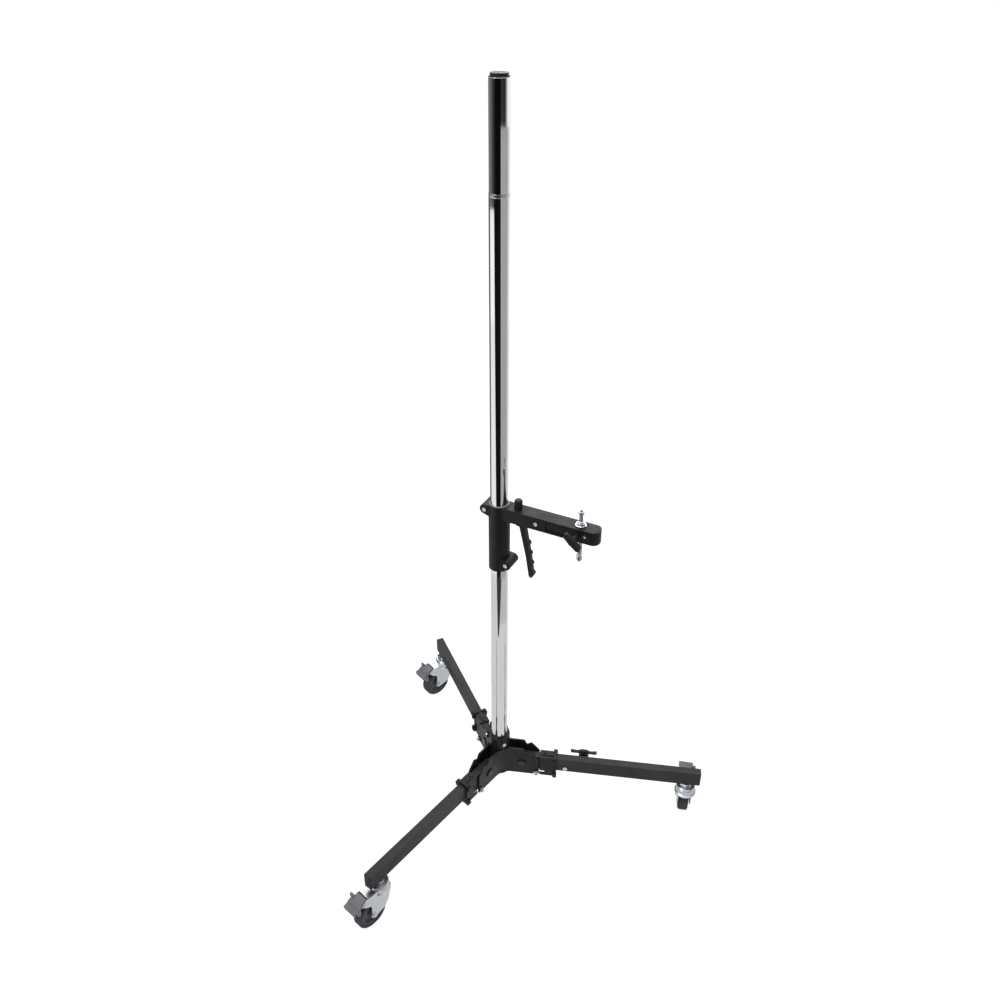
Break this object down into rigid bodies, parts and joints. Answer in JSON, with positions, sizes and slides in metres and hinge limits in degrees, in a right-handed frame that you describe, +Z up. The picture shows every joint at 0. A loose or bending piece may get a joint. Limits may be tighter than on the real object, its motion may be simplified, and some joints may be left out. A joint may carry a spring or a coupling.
{
  "type": "column stand",
  "caption": "Rolling studio column stand: chromed column on a folding three-leg base with braked casters, and a sliding arm with rollers, squeeze brake and a double-ended stud.",
  "frame": {"origin": "on the floor in the middle of the box round the whole stand; the column's axis stands at x = -0.1365 m, y = 0.0328 m", "axes": "+Z up along the column, +X along the right leg, which is the one that extends"},
  "size_m": [1.027, 1.1312, 2.2345],
  "materials": {
    "black_casting": "satin black powder coat on cast aluminium",
    "charcoal_steel": "matte charcoal powder coat on steel tube",
    "black_steel": "blackened steel",
    "chrome": "bright chrome plate",
    "zinc": "bright zinc plate",
    "black_plastic": "moulded black plastic",
    "wheel_plastic": "grey moulded core",
    "tyre_rubber": "dark grey non-marking tread",
    "pedal_plastic": "grey-lilac moulded pedal",
    "brake_rubber": "dense rubber",
    "liner_plastic": "pale acetal"
  },
  "bodies": {
    "base": {"hub_casting": "black_casting", "column_lower_tube": "chrome", "column_joint_ring": "zinc", "column_upper_tube": "chrome", "column_top_plug": "black_plastic", "leg_hinge_pins": "black_steel", "latch_bolts": "zinc", "column_socket_screws": "zinc"},
    "leg_right": {"leg_tube_right": "charcoal_steel", "leg_pivot_bush_right": "zinc", "extension_tongue": "zinc", "extension_tongue_screw": "zinc"},
    "collar_right": {"lock_collar_right": "black_casting"},
    "extension": {"right_leg_extension": "charcoal_steel", "leg_end_cap_right": "black_plastic", "caster_stem_right": "zinc", "caster_top_race_right": "zinc"},
    "extension_knob": {"extension_clamp_knob": "black_plastic"},
    "fork_right": {"caster_fork_right": "zinc", "caster_axle_right": "zinc"},
    "wheel_right": {"wheel_core_right": "wheel_plastic", "tyre_right": "tyre_rubber"},
    "pedal_right": {"brake_pedal_right": "pedal_plastic"},
    "leg_back": {"leg_tube_back": "charcoal_steel", "leg_pivot_bush_back": "zinc", "leg_end_cap_back": "black_plastic", "caster_stem_back": "zinc", "caster_top_race_back": "zinc"},
    "collar_back": {"lock_collar_back": "black_casting"},
    "fork_back": {"caster_fork_back": "zinc", "caster_axle_back": "zinc"},
    "wheel_back": {"wheel_core_back": "wheel_plastic", "tyre_back": "tyre_rubber"},
    "pedal_back": {"brake_pedal_back": "pedal_plastic"},
    "leg_front": {"leg_tube_front": "charcoal_steel", "leg_pivot_bush_front": "zinc", "leg_end_cap_front": "black_plastic", "caster_stem_front": "zinc", "caster_top_race_front": "zinc"},
    "collar_front": {"lock_collar_front": "black_casting"},
    "fork_front": {"caster_fork_front": "zinc", "caster_axle_front": "zinc"},
    "wheel_front": {"wheel_core_front": "wheel_plastic", "tyre_front": "tyre_rubber"},
    "pedal_front": {"brake_pedal_front": "pedal_plastic"},
    "carriage": {"arm_glide_liners": "liner_plastic"},
    "arm": {"arm_casting": "black_casting", "arm_sleeve": "black_casting", "arm_bolts": "zinc"},
    "rear_roller": {"upper_rear_roller": "brake_rubber"},
    "front_roller": {"lower_front_roller": "brake_rubber"},
    "lever": {"brake_lever": "black_casting", "brake_shoe": "brake_rubber", "brake_spring": "zinc"},
    "adjuster": {"brake_adjuster_knob": "black_plastic"},
    "stud": {"spigot": "zinc", "spigot_nut": "zinc"},
    "stud_knob": {"spigot_lock_knob": "black_plastic"}
  },
  "joints": [
    {"name": "leg_right_fold", "type": "hinge", "parent": "base", "child": "leg_right", "pos_m": [-0.06048, 0.03279, 0.1795], "axis": [0, -1, 0], "range_deg": [0, 88]},
    {"name": "collar_right_slide", "type": "slide", "parent": "leg_right", "child": "collar_right", "axis": [1, 0, 0], "range_m": [-0.022, 0]},
    {"name": "extension_slide", "type": "slide", "parent": "leg_right", "child": "extension", "axis": [1, 0, 0], "range_m": [0, 0.1]},
    {"name": "extension_knob_turn", "type": "hinge", "parent": "extension", "child": "extension_knob", "pos_m": [0.13752, 0.06079, 0.1945], "axis": [0, 0, 1], "continuous": true},
    {"name": "caster_right_swivel", "type": "hinge", "parent": "extension", "child": "fork_right", "pos_m": [0.47152, 0.03279, 0.1345], "axis": [0, 0, 1], "continuous": true},
    {"name": "wheel_right_spin", "type": "hinge", "parent": "fork_right", "child": "wheel_right", "pos_m": [0.47372, 0.07473, 0.051], "axis": [-0.9986, 0.0523, 0], "continuous": true},
    {"name": "pedal_right_press", "type": "hinge", "parent": "fork_right", "child": "pedal_right", "pos_m": [0.47524, 0.10369, 0.1215], "axis": [-0.9986, 0.0523, 0], "range_deg": [-12, 0]},
    {"name": "leg_back_fold", "type": "hinge", "parent": "base", "child": "leg_back", "pos_m": [-0.17448, 0.09861, 0.1795], "axis": [0.866, 0.5, 0], "range_deg": [0, 88]},
    {"name": "collar_back_slide", "type": "slide", "parent": "leg_back", "child": "collar_back", "axis": [-0.5, 0.866, 0], "range_m": [-0.022, 0]},
    {"name": "caster_back_swivel", "type": "hinge", "parent": "leg_back", "child": "fork_back", "pos_m": [-0.41948, 0.52296, 0.1345], "axis": [0, 0, 1], "continuous": true},
    {"name": "wheel_back_spin", "type": "hinge", "parent": "fork_back", "child": "wheel_back", "pos_m": [-0.44758, 0.49175, 0.051], "axis": [0.7431, -0.6691, 0], "continuous": true},
    {"name": "pedal_back_press", "type": "hinge", "parent": "fork_back", "child": "pedal_back", "pos_m": [-0.46699, 0.4702, 0.1215], "axis": [0.7431, -0.6691, 0], "range_deg": [-12, 0]},
    {"name": "leg_front_fold", "type": "hinge", "parent": "base", "child": "leg_front", "pos_m": [-0.17448, -0.03303, 0.1795], "axis": [-0.866, 0.5, 0], "range_deg": [0, 88]},
    {"name": "collar_front_slide", "type": "slide", "parent": "leg_front", "child": "collar_front", "axis": [-0.5, -0.866, 0], "range_m": [-0.022, 0]},
    {"name": "caster_front_swivel", "type": "hinge", "parent": "leg_front", "child": "fork_front", "pos_m": [-0.41948, -0.45738, 0.1345], "axis": [0, 0, 1], "continuous": true},
    {"name": "wheel_front_spin", "type": "hinge", "parent": "fork_front", "child": "wheel_front", "pos_m": [-0.44297, -0.4922, 0.051], "axis": [0.829, -0.5592, 0], "continuous": true},
    {"name": "pedal_front_press", "type": "hinge", "parent": "fork_front", "child": "pedal_front", "pos_m": [-0.45918, -0.51624, 0.1215], "axis": [0.829, -0.5592, 0], "range_deg": [-12, 0]},
    {"name": "arm_slide", "type": "slide", "parent": "base", "child": "carriage", "axis": [0, 0, 1], "range_m": [-0.655, 1.06]},
    {"name": "arm_swivel", "type": "hinge", "parent": "carriage", "child": "arm", "pos_m": [-0.13648, 0.03279, 1.1245], "axis": [0, 0, 1], "continuous": true},
    {"name": "rear_roller_turn", "type": "hinge", "parent": "arm", "child": "rear_roller", "pos_m": [-0.16757, 0.04386, 1.1385], "axis": [0.3355, 0.9421, 0], "continuous": true},
    {"name": "front_roller_turn", "type": "hinge", "parent": "arm", "child": "front_roller", "pos_m": [-0.10539, 0.02172, 0.9695], "axis": [0.3355, 0.9421, 0], "continuous": true},
    {"name": "brake_lever_squeeze", "type": "hinge", "parent": "arm", "child": "lever", "pos_m": [-0.02155, -0.00814, 1.1345], "axis": [0.3355, 0.9421, 0], "range_deg": [0, 5], "stiffness_Nm_per_rad": 40, "springref_deg": -6.88, "deforming": ["brake_spring"]},
    {"name": "adjuster_turn", "type": "hinge", "parent": "arm", "child": "adjuster", "pos_m": [-0.08128, 0.01313, 1.1645], "axis": [0, 0, 1], "continuous": true},
    {"name": "stud_turn", "type": "hinge", "parent": "arm", "child": "stud", "pos_m": [0.09244, -0.04872, 1.134], "axis": [0, 0, 1], "continuous": true},
    {"name": "stud_knob_turn", "type": "hinge", "parent": "arm", "child": "stud_knob", "pos_m": [0.09244, -0.04872, 1.134], "axis": [0.3355, 0.9421, 0], "continuous": true}
  ],
  "couplings": [
    {"joint": "rear_roller_turn", "follows": "arm_slide", "rad_per_m": 127.39},
    {"joint": "front_roller_turn", "follows": "arm_slide", "rad_per_m": -127.39}
  ]
}
